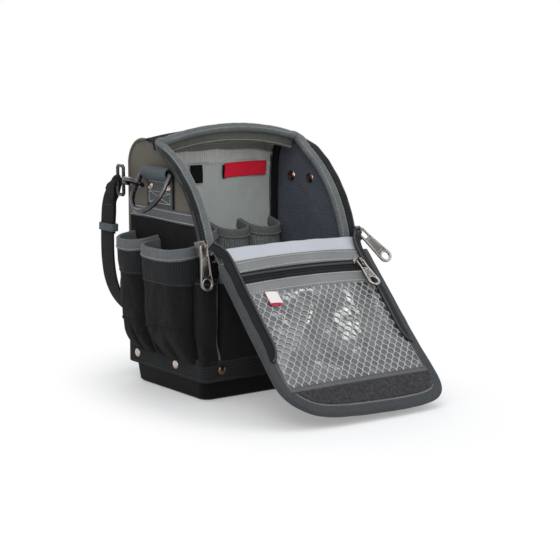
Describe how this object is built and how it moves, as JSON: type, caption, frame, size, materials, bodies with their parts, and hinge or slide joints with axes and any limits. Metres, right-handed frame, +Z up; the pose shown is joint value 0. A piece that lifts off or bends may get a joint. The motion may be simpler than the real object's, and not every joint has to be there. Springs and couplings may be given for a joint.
{
  "type": "tool bag",
  "caption": "Open-mouth tool bag on a moulded base, with an arched zip opening, fold-down mesh flap, outer pockets, D-rings, snap hooks and a shoulder strap.",
  "frame": {"origin": "middle of the moulded base's underside, on the surface the bag stands on", "axes": "+Z up, -Y towards the fold-down flap at the front, +X to the right seen from the front"},
  "size_m": [0.2433, 0.3397, 0.2556],
  "materials": {
    "moulded_base": "satin",
    "board_plastic": "matte",
    "black_nylon": "matte",
    "taupe_nylon": "matte",
    "grey_trim": "matte",
    "grey_liner": "matte",
    "pale_fabric": "matte",
    "zip_tape": "matte",
    "clear_mesh": "glossy",
    "loop_pile": "matte",
    "label_red": "matte",
    "gunmetal": "polished",
    "rivet_metal": "polished",
    "strap_web": "matte"
  },
  "bodies": {
    "bag": {"base_tray": "moulded_base", "floor_board": "board_plastic", "base_band": "black_nylon", "front_panel": "taupe_nylon", "back_panel": "black_nylon", "top_panel": "grey_trim", "hook_strip": "loop_pile", "side_lower_left": "black_nylon", "side_upper_left": "taupe_nylon", "side_lower_right": "black_nylon", "side_upper_right": "taupe_nylon", "rim_binding": "grey_trim", "zip_tape_left": "zip_tape", "zip_tape_right": "zip_tape", "hinge_fold": "pale_fabric", "side_pocket_left_front": "black_nylon", "side_pocket_left_rear": "black_nylon", "side_pocket_right_front": "black_nylon", "side_pocket_right_rear": "black_nylon", "front_pocket": "taupe_nylon", "back_pocket": "black_nylon", "corner_pocket_left": "black_nylon", "corner_pocket_right": "black_nylon", "rear_liner": "grey_liner", "tool_row": "grey_trim", "label_tab": "label_red", "d_ring_tab_left": "strap_web", "tab_rivet_left_front": "rivet_metal", "tab_rivet_left_rear": "rivet_metal", "d_ring_tab_right": "strap_web", "tab_rivet_right_front": "rivet_metal", "tab_rivet_right_rear": "rivet_metal"},
    "flap_1": {"flap_panel_1": "taupe_nylon", "flap_strip_upper": "grey_trim", "flap_strip_lower": "grey_trim", "pocket_zipper": "zip_tape"},
    "flap_2": {"flap_panel_2": "taupe_nylon", "mesh_pocket_1": "clear_mesh"},
    "flap_3": {"flap_panel_3": "taupe_nylon", "mesh_pocket_2": "clear_mesh"},
    "flap_4": {"flap_panel_4": "taupe_nylon", "mesh_pocket_3": "clear_mesh"},
    "flap_5": {"flap_panel_5": "taupe_nylon", "loop_strip": "loop_pile"},
    "pocket_runner": {"pocket_slider": "gunmetal"},
    "pocket_tab": {"pocket_pull": "gunmetal"},
    "zip_runner_left": {"slider_left": "gunmetal"},
    "zip_runner_right": {"slider_right": "gunmetal"},
    "zip_tab_left": {"pull_left": "gunmetal"},
    "zip_tab_right": {"pull_right": "gunmetal"},
    "ring_left": {"d_ring_left": "gunmetal", "swivel_eye_left": "gunmetal"},
    "ring_right": {"d_ring_right": "gunmetal", "swivel_eye_right": "gunmetal"},
    "hook_left": {"snap_hook_left": "gunmetal"},
    "hook_right": {"snap_hook_right": "gunmetal"},
    "hook_gate_left": {"gate_left": "gunmetal"},
    "hook_gate_right": {"gate_right": "gunmetal"},
    "strap": {"strap_webbing": "strap_web", "strap_glide": "gunmetal"}
  },
  "joints": [
    {"name": "flap_fold", "type": "hinge", "parent": "bag", "child": "flap_1", "pos_m": [0, -0.086, 0.1555], "axis": [-1, 0, 0], "range_deg": [0, 169.4]},
    {"name": "flap_bend_1", "type": "hinge", "parent": "flap_1", "child": "flap_2", "pos_m": [0, -0.11973, 0.11996], "axis": [-1, 0, 0], "range_deg": [0, 8.1]},
    {"name": "flap_bend_2", "type": "hinge", "parent": "flap_2", "child": "flap_3", "pos_m": [0, -0.14692, 0.0913], "axis": [-1, 0, 0], "range_deg": [0, 16.4]},
    {"name": "flap_bend_3", "type": "hinge", "parent": "flap_3", "child": "flap_4", "pos_m": [0, -0.17411, 0.06265], "axis": [-1, 0, 0], "range_deg": [0, 16.4]},
    {"name": "flap_bend_4", "type": "hinge", "parent": "flap_4", "child": "flap_5", "pos_m": [0, -0.2013, 0.034], "axis": [-1, 0, 0], "range_deg": [0, 37.7]},
    {"name": "pocket_zip_run", "type": "slide", "parent": "flap_1", "child": "pocket_runner", "axis": [-1, 0, 0], "range_m": [0, 0.13]},
    {"name": "pocket_pull_swing", "type": "hinge", "parent": "pocket_runner", "child": "pocket_tab", "pos_m": [0.07, -0.11536, 0.13401], "axis": [-1, 0, 0], "range_deg": [0, 110]},
    {"name": "zip_run_left", "type": "hinge", "parent": "bag", "child": "zip_runner_left", "pos_m": [0, 0.06, 0.12], "axis": [-1, 0, 0], "range_deg": [0, 51]},
    {"name": "pull_swing_left", "type": "hinge", "parent": "zip_runner_left", "child": "zip_tab_left", "pos_m": [-0.0974, -0.08155, 0.15935], "axis": [-1, 0, 0], "range_deg": [0, 28]},
    {"name": "zip_run_right", "type": "hinge", "parent": "bag", "child": "zip_runner_right", "pos_m": [0, 0.06, 0.12], "axis": [-1, 0, 0], "range_deg": [0, 51]},
    {"name": "pull_swing_right", "type": "hinge", "parent": "zip_runner_right", "child": "zip_tab_right", "pos_m": [0.0974, -0.08155, 0.15935], "axis": [-0.8489, -0.1332, -0.5114], "range_deg": [0, 40]},
    {"name": "ring_swing_left", "type": "hinge", "parent": "bag", "child": "ring_left", "pos_m": [-0.0957, 0.005, 0.224], "axis": [0, 1, 0], "range_deg": [0, 25], "deforming": ["strap_webbing"]},
    {"name": "hook_swivel_left", "type": "hinge", "parent": "ring_left", "child": "hook_left", "pos_m": [-0.1027, 0.03145, 0.21188], "axis": [0, 1, 0], "range_deg": [-10, 10]},
    {"name": "gate_swing_left", "type": "hinge", "parent": "hook_left", "child": "hook_gate_left", "pos_m": [-0.09664, 0.0449, 0.20838], "axis": [-0.5, 0, -0.866], "range_deg": [0, 20], "stiffness_Nm_per_rad": 0.01, "springref_deg": -5.73},
    {"name": "ring_swing_right", "type": "hinge", "parent": "bag", "child": "ring_right", "pos_m": [0.0957, 0.005, 0.224], "axis": [0, -1, 0], "range_deg": [0, 25], "deforming": ["strap_webbing"]},
    {"name": "hook_swivel_right", "type": "hinge", "parent": "ring_right", "child": "hook_right", "pos_m": [0.1027, 0.03145, 0.21188], "axis": [0, 1, 0], "range_deg": [-10, 10]},
    {"name": "gate_swing_right", "type": "hinge", "parent": "hook_right", "child": "hook_gate_right", "pos_m": [0.09664, 0.0449, 0.20838], "axis": [-0.5, 0, 0.866], "range_deg": [0, 20], "stiffness_Nm_per_rad": 0.01, "springref_deg": -5.73},
    {"name": "strap_swing", "type": "hinge", "parent": "bag", "child": "strap", "pos_m": [0, 0.06955, 0.21188], "axis": [1, 0, 0], "range_deg": [0, 165]}
  ],
  "couplings": [
    {"joint": "flap_bend_1", "follows": "flap_fold", "ratio": 0.045585},
    {"joint": "flap_bend_2", "follows": "flap_fold", "ratio": 0.09448},
    {"joint": "flap_bend_3", "follows": "flap_fold", "ratio": 0.09448},
    {"joint": "flap_bend_4", "follows": "flap_fold", "ratio": 0.2199}
  ]
}
